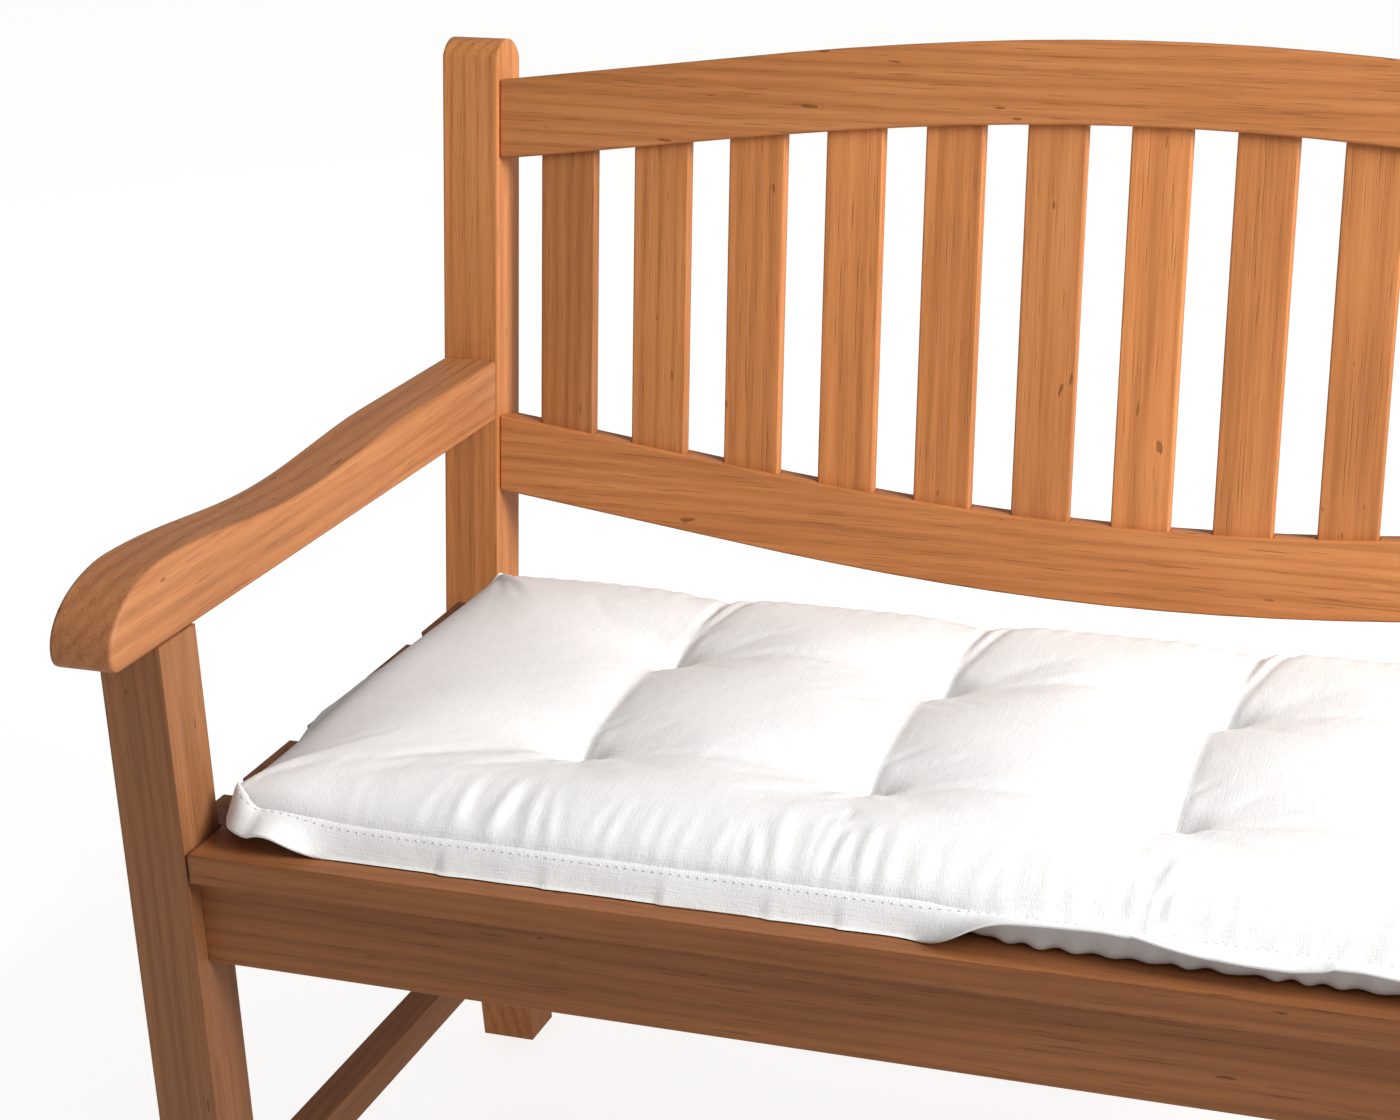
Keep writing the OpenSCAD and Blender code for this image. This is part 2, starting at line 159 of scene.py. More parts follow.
def mixed(nodes, links, kind, factor, first, second):
    """Two colours, sockets or triples, mixed by a factor."""
    node = nodes.new("ShaderNodeMix")
    node.data_type = "RGBA"
    node.blend_type = kind
    plug_in(links, node.inputs["Factor"], factor)
    plug_in(links, node.inputs[MIX_FIRST], first)
    plug_in(links, node.inputs[MIX_SECOND], second)
    return node.outputs[MIX_RESULT]


def bumped(nodes, links, shader, height, distance, arris=0.0):
    """Bumps the shader by a height over a distance, and rounds arrises to a radius."""
    node = nodes.new("ShaderNodeBump")
    if arris:
        rounding = nodes.new("ShaderNodeBevel")
        rounding.samples = 4
        rounding.inputs["Radius"].default_value = arris
        links.new(rounding.outputs["Normal"], node.inputs["Normal"])
    node.inputs["Strength"].default_value = 1.0
    node.inputs["Distance"].default_value = distance
    links.new(height, node.inputs["Height"])
    links.new(node.outputs["Normal"], shader.inputs["Normal"])


# ---------------------------------------------------------------- wood

# Turns each grain direction onto the first axis.
GRAIN_TURN = {
    "x": (0.0, 0.0, 0.0),
    "y": (0.0, 0.0, -math.pi / 2),
    "z": (0.0, math.pi / 2, 0.0),
    "raked": (RAKE, math.pi / 2, 0.0),
}


def toned(tones, share):
    """The wood tones, all made lighter or darker by one share."""
    return [tuple(min(1.0, c * share) for c in tone) for tone in tones]


def grain_vector(nodes, links, grain, seed):
    """Coordinates whose first axis runs along the grain, shifted by the board's seed."""
    place = nodes.new("ShaderNodeTexCoord")
    turn = nodes.new("ShaderNodeMapping")
    turn.inputs["Rotation"].default_value = GRAIN_TURN[grain]
    turn.inputs["Location"].default_value = (
        0.73 * seed, 0.06 + 0.017 * (seed % 5), 0.05 + 0.023 * (seed % 3))
    links.new(place.outputs["Object"], turn.inputs["Vector"])
    return turn.outputs[0]


def growth_rings(nodes, links, grain):
    """Growth rings round an axis beside the board, wavering slowly along the grain."""
    node = nodes.new("ShaderNodeTexWave")
    node.wave_type = "RINGS"
    node.rings_direction = "X"
    node.inputs["Scale"].default_value = 30.0
    node.inputs["Distortion"].default_value = 7.0
    node.inputs["Detail"].default_value = 2.0
    node.inputs["Detail Scale"].default_value = 0.5
    links.new(scaled(nodes, links, grain, (0.14, 1.0, 1.0)), node.inputs["Vector"])
    return node.outputs["Fac"]


# Each mark's frequency along and across the grain, in cycles per metre.
STREAK_SCALE = (1.3, 55.0, 55.0)
FIBRE_SCALE = (7.0, 260.0, 260.0)
PATCH_SCALE = (3.0, 11.0, 11.0)
PORE_SCALE = (22.0, 700.0, 700.0)
SPECK_SCALE = (45.0, 190.0, 190.0)

TONE_STOPS = (0.40, 0.66, 0.92)       # where the dark, body and light tones sit
WOOD_ROUGH = (0.42, 0.62)             # roughness between and on the fibres
WOOD_RELIEF = 0.00035                 # depth of the fibres and pores


def wood(name, tones, grain, seed, arris=0.0):
    """Oiled hardwood: streaks, rings, fibres, pores and specks along the grain."""
    material, nodes, links, shader = new_material(name)
    along = grain_vector(nodes, links, grain, seed)
    streak = noise_value(nodes, links, along, STREAK_SCALE, 2.0, 0.5)
    fibre = noise_value(nodes, links, along, FIBRE_SCALE, 4.0, 0.65)
    patch = noise_value(nodes, links, along, PATCH_SCALE, 2.0)
    pore = noise_value(nodes, links, along, PORE_SCALE, 1.0)
    speck = noise_value(nodes, links, along, SPECK_SCALE, 0.0)
    rings = growth_rings(nodes, links, along)

    tone = reckon(nodes, links, "MULTIPLY_ADD", rings, 0.10, -0.05)
    for mark, share in ((streak, 0.38), (fibre, 0.50), (patch, 0.42)):
        tone = reckon(nodes, links, "MULTIPLY_ADD", mark, share, tone)
    colour = ramp(nodes, links, tone, list(zip(TONE_STOPS, tones)))
    dark = tuple(0.45 * c for c in tones[0])
    line = ranged(nodes, links, rings, 0.0, 0.24, 0.30, 0.0)
    patchy = ranged(nodes, links, patch, 0.42, 0.62, 0.0, 1.0)
    line = reckon(nodes, links, "MULTIPLY", line, patchy)
    colour = mixed(nodes, links, "MIX", line, colour, tones[0])
    pores = ranged(nodes, links, pore, 0.60, 0.78, 0.0, 0.45)
    colour = mixed(nodes, links, "MIX", pores, colour, dark)
    specks = ranged(nodes, links, speck, 0.835, 0.86, 0.0, 0.7)
    colour = mixed(nodes, links, "MIX", specks, colour, dark)
    links.new(colour, shader.inputs["Base Color"])

    rough = ranged(nodes, links, fibre, 0.3, 0.7, *WOOD_ROUGH)
    links.new(rough, shader.inputs["Roughness"])
    shader.inputs["Specular IOR Level"].default_value = 0.28
    height = reckon(nodes, links, "MULTIPLY_ADD", pores, -1.2, fibre)
    bumped(nodes, links, shader, height, WOOD_RELIEF, arris)
    return material


# ---------------------------------------------------------------- the frame's boards

WELD_GAP = 0.00002                    # points nearer than this are joined
LEVEL = math.radians(0.6)             # faces that turn less than this are made one
SHARP = math.radians(28)              # an edge that turns more than this is an arris

# Boards in the order they are finished: node, tones, share of the tones, grain, seed.
BACK_SLAT_SHARES = (0.78, 1.02, 1.10, 1.22, 1.14, 1.02, 1.20,
                    1.08, 1.02, 1.10, 0.95, 1.05, 0.98)
SEAT_SLAT_SHARES = (0.95, 1.05, 0.96, 1.02, 0.98)
BOARDS = [
    *((f"back_slat_{i + 1:02d}", HONEY, share, "raked", 11 + i)
      for i, share in enumerate(BACK_SLAT_SHARES)),
    ("top_rail", HONEY, 0.97, "x", 2),
    ("lower_back_rail", HONEY, 1.10, "x", 3),
    ("rear_leg_left", HONEY, 1.12, "raked", 4),
    ("rear_leg_right", HONEY, 1.06, "raked", 5),
    ("front_leg_left", TAN, 0.76, "z", 6),
    ("front_leg_right", TAN, 0.80, "z", 7),
    ("arm_left", TAN, 1.16, "y", 8),
    ("arm_right", TAN, 1.10, "y", 9),
    ("front_apron", CHESTNUT, 0.98, "x", 30),
    ("rear_seat_rail", CHESTNUT, 1.0, "x", 31),
    ("side_seat_rail_left", TAN, 0.95, "y", 32),
    ("side_seat_rail_right", TAN, 0.9, "y", 33),
    ("middle_seat_rail", TAN, 0.9, "y", 34),
    ("side_stretcher_left", TAN, 1.05, "y", 35),
    ("side_stretcher_right", TAN, 1.0, "y", 36),
    *((f"seat_slat_{i + 1}", CHESTNUT, share, "x", 40 + i)
      for i, share in enumerate(SEAT_SLAT_SHARES)),
]


def smooth_shading():
    """Geometry nodes that shade a mesh smooth and drop the normals stored with it."""
    group = bpy.data.node_groups.new("smooth_shading", "GeometryNodeTree")
    for in_out in ("INPUT", "OUTPUT"):
        group.interface.new_socket("Geometry", in_out=in_out, socket_type="NodeSocketGeometry")
    drop = group.nodes.new("GeometryNodeRemoveAttribute")
    drop.inputs["Name"].default_value = "custom_normal"
    chain = [group.nodes.new("NodeGroupInput"), drop,
             group.nodes.new("GeometryNodeSetShadeSmooth"), group.nodes.new("NodeGroupOutput")]
    for before, after in zip(chain, chain[1:]):
        group.links.new(before.outputs["Geometry"], after.inputs["Geometry"])
    return group


SMOOTH = smooth_shading()


def smooth_board(node, arris):
    """Rounds a board's arrises and smooths its curves. All of it is modifiers, so the
    board's own mesh stays as it is."""
    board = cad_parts[node]
    board.modifiers.new("smooth", "NODES").node_group = SMOOTH
    weld = board.modifiers.new("weld", "WELD")
    weld.merge_threshold = WELD_GAP
    flat = board.modifiers.new("flat", "DECIMATE")
    flat.decimate_type = "DISSOLVE"
    flat.angle_limit = LEVEL
    bevel = board.modifiers.new("arris", "BEVEL")
    bevel.width = arris
    bevel.segments = 3
    bevel.limit_method = "ANGLE"
    bevel.angle_limit = SHARP
    bevel.use_clamp_overlap = False
    bevel.miter_outer = "MITER_ARC"
    shading = board.modifiers.new("shading", "WEIGHTED_NORMAL")
    shading.keep_sharp = False
    shading.weight = 100


def paint(node, material):
    """Gives a CAD node one material, in its object's own slots."""
    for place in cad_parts[node].material_slots:
        place.link = "OBJECT"
        place.material = material


def board_arris(node):
    """The radius that a board's arrises are rounded to."""
    return next(radius for start, radius in ARRIS.items() if node.startswith(start))


def finish_board(node, tones, share, grain, seed):
    """A board in its own piece of wood, rounded by modifiers or, if drilled, by shading."""
    drilled = node.startswith(DRILLED)
    if not drilled:
        smooth_board(node, board_arris(node))
    rounding = board_arris(node) if drilled else 0.0
    paint(node, wood("wood_" + node, toned(tones, share), grain, seed, rounding))


def finish_frame():
    """Every board, each with its own tone and grain, then the pins, plugs and screws."""
    for board in BOARDS:
        finish_board(*board)
    for node, grain in (("arm_dowels", "x"), ("tenon_pins", "y"), ("seat_plugs", "x")):
        paint(node, wood("wood_" + node, toned(TAN, 0.8), grain, 50))
    paint("seat_screws", brushed_steel())


def brushed_steel():
    """Dull stainless steel for the hidden screws."""
    material, nodes, links, shader = new_material("screw_metal")
    place = nodes.new("ShaderNodeTexCoord")
    grain = noise_value(nodes, links, place.outputs["Object"], (900.0, 900.0, 120.0))
    tone = ramp(nodes, links, grain, [(0.3, (0.42, 0.42, 0.43)), (0.7, (0.60, 0.60, 0.60))])
    links.new(tone, shader.inputs["Base Color"])
    links.new(ranged(nodes, links, grain, 0.3, 0.7, 0.28, 0.45), shader.inputs["Roughness"])
    shader.inputs["Metallic"].default_value = 1.0
    bumped(nodes, links, shader, grain, 0.00005)
    return material


# ---------------------------------------------------------------- the cushion

PAD_HALF = 0.536                      # half length, to the seam
PAD_FRONT, PAD_REAR = -0.260, 0.199   # front and rear seams
PAD_CORNER = 0.028                    # radius of the corners in plan
PAD_SEAM = 0.464                      # height of the seam
PAD_CROWN = 0.027                     # rise of the filling above the seam
PAD_STEP = 0.0032                     # spacing of the cloth's threads in the model
TUFT_X = (-0.325, -0.108, 0.108, 0.325)
TUFT_Y = (-0.125, 0.062)              # front row, rear row
PAD_BULGE = 0.012                     # how much longer the pad is between the legs
PAD_EDGE = 0.050                      # run over which the top rises from the seam
FLANGE = 0.024                        # width of the flat hem beyond the seam
BULGE_Y, BULGE_REACH = -0.03, 0.12    # middle and reach of the pad's longer part
LIFTED_X = -0.500                     # the front left corner that stands up
TUFT_R = 0.0055                       # radius held down at each tuft
BOTTOM_EDGE = 0.016                   # run over which the bottom falls to the seat
SEAT_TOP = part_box("cushion")[0].z
PAD_REST = SEAT_TOP + 0.0003          # height of the bottom sheet where it rests
HEM_REST = SEAT_TOP + 0.0004          # lowest height of the hem

GATHER_START, GATHER_END = -0.44, 0.50
REAR_PITCH, BOTTOM_PITCH, FOLD_PITCH = 0.021, 0.019, 0.024     # spacing of small folds
FOLD_RUN = 0.030                      # depth in plan of the gathered underside's fold
# Where along the front each of these begins and ends, as runs of x.
FOLD_SHOWS = ((-0.03, 0.05), (0.44, 0.50))
HEM_CURLS = ((-0.035, 0.030), (0.46, 0.53))

# How steeply the hem hangs below level in each part.
HANG_TUCKED = math.radians(62)
HANG_CURLED = math.radians(13)
HANG_LIFTED = math.radians(2)
HANG_REAR = math.radians(58)
HANG_SIDE = math.radians(56)
HANG_SIDE_LESS = math.radians(34)     # less of it between the legs
HANG_FLAP = math.radians(76)
HANG_EVENED = 6                       # rim points to each side that the hang is evened over

PLEATS = (-0.365, -0.290, -0.205, -0.130, -0.080, 0.115, 0.240, 0.330, 0.420)
# The hem's section: how far out it runs as shares of FLANGE, and half its thickness.
HEM_TUCK = -0.0030                    # start of the section, inside the seam
HEM_SHARES = (0.0, 0.25, 0.5, 0.75, 0.93, 1.0)
HEM_HALF = (0.0004, 0.0010, 0.0013, 0.0013, 0.0013, 0.0015, 0.0011)
# A stitch's rings: place along the stitch, and radius.
STITCH_RINGS = ((0.10, 0.00015), (0.30, 0.00040), (0.70, 0.00040), (0.90, 0.00015))
STITCH_SIDES = 4
STITCH_RISE = 0.0003                  # how far the thread stands off the hem

CLOTH_FRAMES = 20
CLOTH_PRESSURE = 4.0
CLOTH_CAP = 0.010                     # furthest that the air may push a point
TINY = 1e-9                           # keeps divisions off nought


def hill(distance, reach):
    """A smooth hill, 1 at no distance and fading over reach."""
    return np.exp(-(distance / reach) ** 2)


def step_up(value, start, end):
    """A smooth step from 0 at start to 1 at end."""
    share = np.clip((value - start) / (end - start), 0, 1)
    return share * share * (3 - 2 * share)


def along_front(x, starts, ends):
    """1 on a stretch of the front, rising over starts and falling over ends."""
    return step_up(x, *starts) * (1 - step_up(x, *ends))


def bulge(y):
    """How much longer the pad is at y than its half length."""
    return 1 + PAD_BULGE * hill(y - BULGE_Y, BULGE_REACH)


def pad_grid():
    """Plan positions of the sheet's points, x and y, on a grid with rounded corners."""
    half_depth = (PAD_REAR - PAD_FRONT) / 2
    middle = (PAD_REAR + PAD_FRONT) / 2
    columns = int(2 * PAD_HALF / PAD_STEP)
    rows = int(2 * half_depth / (1.25 * PAD_STEP))
    x, y = np.meshgrid(np.linspace(-PAD_HALF, PAD_HALF, columns),
                       np.linspace(-half_depth, half_depth, rows))
    over_x = np.abs(x) - (PAD_HALF - PAD_CORNER)
    over_y = np.abs(y) - (half_depth - PAD_CORNER)
    both = (over_x > 0) & (over_y > 0)
    pull = np.maximum(over_x, over_y) / np.maximum(np.hypot(over_x, over_y), TINY)
    x = np.where(both, np.sign(x) * (PAD_HALF - PAD_CORNER + over_x * pull), x)
    y = np.where(both, np.sign(y) * (half_depth - PAD_CORNER + over_y * pull), y)
    y = y + middle
    return x * bulge(y), y


def wander(x, spacing, seed):
    """A smooth random line over x, between -1 and 1, turning about every spacing."""
    knots = np.arange(-0.8, 0.8, spacing)
    values = np.random.default_rng(seed).uniform(-1, 1, len(knots))
    return np.interp(x, knots, values)


def tuft_columns(x, reach):
    """How near x is to a tuft's column, 1 at the column."""
    return sum(hill(x - column, reach) for column in TUFT_X)


def gathers(x, y):
    """Small upright folds that rise from the front seam, thickest before the tufts."""
    run = y - PAD_FRONT
    folds = np.zeros_like(x)
    dice = np.random.default_rng(5)
    place = GATHER_START
    while place < GATHER_END:
        near = float(tuft_columns(np.array(place), 0.070))
        size = dice.uniform(0.0004, 0.0012) * (0.40 + 0.85 * near)
        length = dice.uniform(0.016, 0.036) + 0.020 * near
        width = dice.uniform(0.0028, 0.0052)
        bend = dice.uniform(-0.25, 0.25)
        beside = x - place - bend * run
        fold = hill(beside, width) - 0.7 * hill(beside - 1.9 * width, 1.2 * width)
        folds += size * fold * step_up(run, 0.0, 0.009) * np.exp(-(run / length) ** 2)
        place += dice.uniform(0.009, 0.030) * (1.25 - 0.6 * near)
    return folds


def rear_gathers(x, y):
    """Shorter folds along the rear seam."""
    run = PAD_REAR - y
    phase = 2 * math.pi * (x + 0.006 * wander(x, 0.05, 13)) / REAR_PITCH
    fade = step_up(run, 0.0, 0.012) * np.exp(-(run / 0.035) ** 2)
    return 0.0010 * (0.6 + 0.4 * wander(x, 0.04, 15)) * np.sin(phase) * fade


def fans(x, y):
    """Folds that fan out from each front tuft towards the front seam."""
    folds = np.zeros_like(x)
    for column in TUFT_X:
        away_x, away_y = x - column, TUFT_Y[0] - y
        reach = np.hypot(away_x, away_y)
        angle = np.arctan2(away_x, away_y)
        front = step_up(np.cos(angle), 0.15, 0.6)
        ring = step_up(reach, 0.008, 0.030) * np.exp(-(reach / 0.085) ** 2)
        folds += 0.0012 * np.cos(8.5 * angle + 40 * column) * front * ring
    return folds


def crease(x, y, start, end, depth, width):
    """A narrow valley along a straight line between two points in plan."""
    line = np.array(end) - np.array(start)
    length = np.hypot(*line)
    along = ((x - start[0]) * line[0] + (y - start[1]) * line[1]) / length ** 2
    beside = ((x - start[0]) * line[1] - (y - start[1]) * line[0]) / length
    ends = step_up(along, -0.05, 0.10) * step_up(-along, -1.08, -0.90)
    return depth * hill(beside, width) * ends


def creases(x, y):
    """Double creases from the rear tufts to the rear edge, and between the rows."""
    total = np.zeros_like(x)
    for column in TUFT_X:
        rear = (column, TUFT_Y[1])
        total += crease(x, y, rear, (column + 0.010, PAD_REAR), 0.0034, 0.0050)
        total += crease(x, y, rear, (column + 0.036, PAD_REAR), 0.0026, 0.0050)
        total += crease(x, y, (column, TUFT_Y[0]), (column - 0.006, TUFT_Y[1]), 0.0042, 0.0060)
        total += crease(x, y, (column - 0.016, -0.05), (column - 0.012, 0.075), 0.0020, 0.0045)
    return total


def valleys(x, y):
    """Broad hollows along the rows and columns of tufts, deepest at each tuft."""
    rear_part = step_up(y, TUFT_Y[0] - 0.03, TUFT_Y[0])
    total = 0.0055 * tuft_columns(x, 0.030) * (0.25 + 0.75 * rear_part)
    inside = step_up(-np.abs(x), -0.41, -0.32)
    for row in TUFT_Y:
        total += 0.0040 * hill(y - row, 0.026) * inside
    for column in TUFT_X:
        for row in TUFT_Y:
            reach = np.hypot(x - column, y - row)
            total += 0.0120 * hill(reach, 0.017) + 0.0050 * hill(reach, 0.055)
    return total


def edge_run(x, y):
    """Distance in plan from the nearest seam."""
    ends = PAD_HALF * bulge(y) - np.abs(x)
    return np.minimum(ends, np.minimum(y - PAD_FRONT, PAD_REAR - y))


def corner_lift(x, y):
    """How far the front left corner stands up off the seat."""
    return 0.007 * hill(np.hypot(x - LIFTED_X, y - PAD_FRONT), 0.040)


def pad_top(x, y):
    """Height of the top sheet before it is blown up."""
    run = np.clip(edge_run(x, y) / PAD_EDGE, 0, 1)
    rise = np.sqrt(np.clip(1 - (1 - run) ** 2, 0, 1))
    form = PAD_CROWN - valleys(x, y) - creases(x, y)
    folds = gathers(x, y) + rear_gathers(x, y) + fans(x, y)
    return PAD_SEAM + corner_lift(x, y) + rise * form + folds


def pad_bottom(x, y):
    """The bottom sheet: gathered round the edge, and flat where it rests on the seat."""
    run = np.clip(edge_run(x, y) / BOTTOM_EDGE, 0, 1)
    fall = np.sqrt(np.clip(1 - (1 - run) ** 2, 0, 1))
    phase = 2 * math.pi * (x + 0.005 * wander(x, 0.04, 21)) / BOTTOM_PITCH
    ripple = 0.0016 * np.sin(phase)
    seam = PAD_SEAM + corner_lift(x, y)
    z = seam + (PAD_REST - seam) * fall
    return np.maximum(z + ripple * fall * (1 - run), PAD_REST)


def tucked_fold(x, y):
    """How far the gathered underside stands forward where the hem curls up."""
    run = np.clip((y - PAD_FRONT) / FOLD_RUN, 0, 1)
    shows = along_front(x, *FOLD_SHOWS)
    phase = 2 * math.pi * (x + 0.006 * wander(x, 0.05, 23)) / FOLD_PITCH
    pucker = 1 + 0.16 * np.sin(phase)
    return 0.0150 * pucker * shows * np.sqrt(np.sin(math.pi * run).clip(0))


def grid_faces(rows, columns, flip=False):
    """Quads over a grid of points numbered row by row."""
    index = np.arange(rows * columns).reshape(rows, columns)
    quads = np.stack([index[:-1, :-1], index[:-1, 1:], index[1:, 1:], index[1:, :-1]], -1)
    quads = quads.reshape(-1, 4)
    return quads[:, ::-1] if flip else quads


def mesh_object(name, points, faces):
    """A smooth-shaded mesh object from points and faces."""
    mesh = bpy.data.meshes.new(name)
    mesh.from_pydata(np.asarray(points).tolist(), [], [list(map(int, f)) for f in faces])
    mesh.polygons.foreach_set("use_smooth", [True] * len(mesh.polygons))
    made = bpy.data.objects.new(name, mesh)
    bpy.context.scene.collection.objects.link(made)
    return made


def points_of(made):
    """A mesh object's points as an array."""
    flat = np.zeros(len(made.data.vertices) * 3, np.float32)
    made.data.vertices.foreach_get("co", flat)
    return flat.reshape(-1, 3).astype(float)


def blown_up(points, faces, pinned):
    """The sheet after air pressure has pushed it out, with the pinned points held."""
    cloth = mesh_object("cloth_sheet", points, faces)
    group = cloth.vertex_groups.new(name="pinned")
    group.add([int(i) for i in np.flatnonzero(pinned)], 1.0, "REPLACE")
    modifier = cloth.modifiers.new("cloth", "CLOTH")
    settings = modifier.settings
    settings.quality = 6
    settings.mass = 0.15
    settings.use_pressure = True
    settings.uniform_pressure_force = CLOTH_PRESSURE
    settings.tension_stiffness = 20
    settings.compression_stiffness = 20
    settings.shear_stiffness = 6
    settings.bending_stiffness = 0.05
    settings.vertex_group_mass = "pinned"
    settings.effector_weights.gravity = 0
    modifier.collision_settings.use_collision = False
    modifier.collision_settings.use_self_collision = False
    scene = bpy.context.scene
    for number in range(1, CLOTH_FRAMES + 1):
        scene.frame_set(number)
    settled = cloth.evaluated_get(bpy.context.evaluated_depsgraph_get())
    moved = points_of(settled)
    bpy.data.objects.remove(cloth)
    scene.frame_set(1)
    push = moved - points
    length = np.linalg.norm(push, axis=1, keepdims=True)
    return points + push * np.minimum(1, CLOTH_CAP / np.maximum(length, TINY))


def outline(rows, columns):
    """Grid indices round the edge of the sheet, anticlockwise from the front left."""
    index = np.arange(rows * columns).reshape(rows, columns)
    sides = [index[0, :-1], index[:-1, -1], index[-1, :0:-1], index[:0:-1, 0]]
    return np.concatenate(sides)


def pad_body():
    """The filled part of the cushion: a top sheet blown up over a flat bottom sheet."""
    x, y = pad_grid()
    rows, columns = x.shape
    top = np.stack([x, y, pad_top(x, y)], -1).reshape(-1, 3)
    rim = outline(rows, columns)
    pinned = np.zeros(len(top), bool)
    pinned[rim] = True
    for column in TUFT_X:
        for row in TUFT_Y:
            pinned |= np.hypot(top[:, 0] - column, top[:, 1] - row) < TUFT_R
    sheet = grid_faces(rows, columns)
    top = blown_up(top, sheet, pinned)
    bottom = np.stack([x, y - tucked_fold(x, y), pad_bottom(x, y)], -1).reshape(-1, 3)
    shared = np.arange(len(bottom)) + len(top)
    shared[rim] = rim
    under = shared[grid_faces(rows, columns, flip=True)]
    pad = mesh_object("cushion_pad", np.vstack([top, bottom]), np.vstack([sheet, under]))
    drop_loose(pad)
    return pad, top[rim]


def drop_loose(made):
    """Removes points that no face uses."""
    used = np.zeros(len(made.data.vertices), bool)
    corners = np.zeros(len(made.data.loops), np.int32)
    made.data.loops.foreach_get("vertex_index", corners)
    used[corners] = True
    keep = np.cumsum(used) - 1
    points = points_of(made)[used]
    faces = keep[corners].reshape(-1, 4)
    old = made.data
    fresh = bpy.data.meshes.new(old.name)
    fresh.from_pydata(points.tolist(), [], faces.tolist())
    fresh.polygons.foreach_set("use_smooth", [True] * len(fresh.polygons))
    made.data = fresh
    bpy.data.meshes.remove(old)


def droop_along(rim, outward):
    """How steeply the hem hangs at each point of the rim, in radians below level."""
    x, y = rim[:, 0], rim[:, 1]
    front = step_up(-outward[:, 1], 0.55, 0.85)
    rear = step_up(outward[:, 1], 0.55, 0.85)
    side = 1 - front - rear
    between = hill(y - BULGE_Y, 0.11)
    curled = along_front(x, *HEM_CURLS)
    tucked = HANG_TUCKED * (1 - curled) - HANG_CURLED * curled
    tucked += HANG_CURLED * wander(x, 0.05, 31) * curled
    lifted = hill(x - LIFTED_X, 0.022)
    tucked = tucked * (1 - lifted) + HANG_LIFTED * lifted
    flap = hill(np.hypot(x + PAD_HALF - 0.004, y - PAD_FRONT - 0.010), 0.017)
    at_side = HANG_SIDE - HANG_SIDE_LESS * between
    droop = front * tucked + rear * HANG_REAR + side * at_side
    return droop * (1 - flap) + HANG_FLAP * flap


def pleats(x, y):
    """Little overlaps of the hem along the front, as steps that fade to the right."""
    total = np.zeros_like(x)
    for place in PLEATS:
        after = x - place
        fade = np.exp(-np.maximum(after, 0) / 0.020)
        total += 0.0016 * np.where(after > 0, fade, hill(after, 0.0022))
    return total * (y < PAD_FRONT + 0.004)


def hem(rim):
    """The flat hem round the cushion, a thin closed strip beyond the seam."""
    ahead = np.roll(rim, -1, 0) - np.roll(rim, 1, 0)
    outward = np.stack([ahead[:, 1], -ahead[:, 0]], -1)
    outward /= np.linalg.norm(outward, axis=1, keepdims=True)
    droop = droop_along(rim, outward)
    spread = range(-HANG_EVENED, HANG_EVENED + 1)
    droop = sum(np.roll(droop, k) for k in spread) / len(spread)
    fold = pleats(rim[:, 0], rim[:, 1]) + 0.0004 * wander(rim[:, 0], 0.02, 33)
    wave = 0.0016 * wander(rim[:, 0] + 2.0 * rim[:, 1], 0.045, 35)
    runs = [HEM_TUCK, *(share * FLANGE for share in HEM_SHARES)]
    section = list(zip(runs, HEM_HALF))
    section += [(run, -half) for run, half in reversed(section)]
    points = []
    for run, offset in section:
        reach = max(run, 0.0) / FLANGE
        proud = offset + fold * reach
        level = run * np.cos(droop) + np.sin(droop) * proud
        height = -run * np.sin(droop) + np.cos(droop) * proud
        height = height + wave * reach
        ring = rim.copy()
        ring[:, :2] += outward * level[:, None]
        ring[:, 2] = np.maximum(rim[:, 2] + height, HEM_REST)
        points.append(ring)
    count, around = len(rim), len(section)
    quads = []
    for j in range(around):
        a = j * count + np.arange(count)
        b = (j + 1) % around * count + np.arange(count)
        quads.append(np.stack([a, np.roll(a, -1), np.roll(b, -1), b], -1)[:, ::-1])
    seam = 0.8 * points[1] + 0.2 * points[2]
    return mesh_object("cushion_hem", np.vstack(points), np.vstack(quads)), seam


def stitches(line):
    """A row of stitches along a closed line of points, one between every other pair."""
    start, end = line[0:-1:2], line[1::2]
    along = end - start
    length = np.linalg.norm(along, axis=1, keepdims=True)
    along /= np.maximum(length, TINY)
    side = np.stack([-along[:, 1], along[:, 0], 0 * along[:, 0]], -1)
    rise = np.cross(along, side)
    points, faces = [], []
    for share, size in STITCH_RINGS:
        middle = start + along * length * share
        for turn in range(STITCH_SIDES):
            angle = math.pi / 2 * turn
            points.append(middle + size * (side * math.cos(angle) + rise * math.sin(angle)))
    rings, count = len(STITCH_RINGS), len(start)
    index = np.arange(rings * STITCH_SIDES * count).reshape(rings, STITCH_SIDES, count)
    for ring, after_ring in zip(index, index[1:]):
        for turn in range(STITCH_SIDES):
            after = (turn + 1) % STITCH_SIDES
            quad = [ring[turn], ring[after], after_ring[after], after_ring[turn]]
            faces.append(np.stack(quad, -1))
    faces.append(np.stack(list(index[0][::-1]), -1))
    faces.append(np.stack(list(index[-1]), -1))
    return mesh_object("cushion_stitching", np.vstack(points), np.vstack(faces))


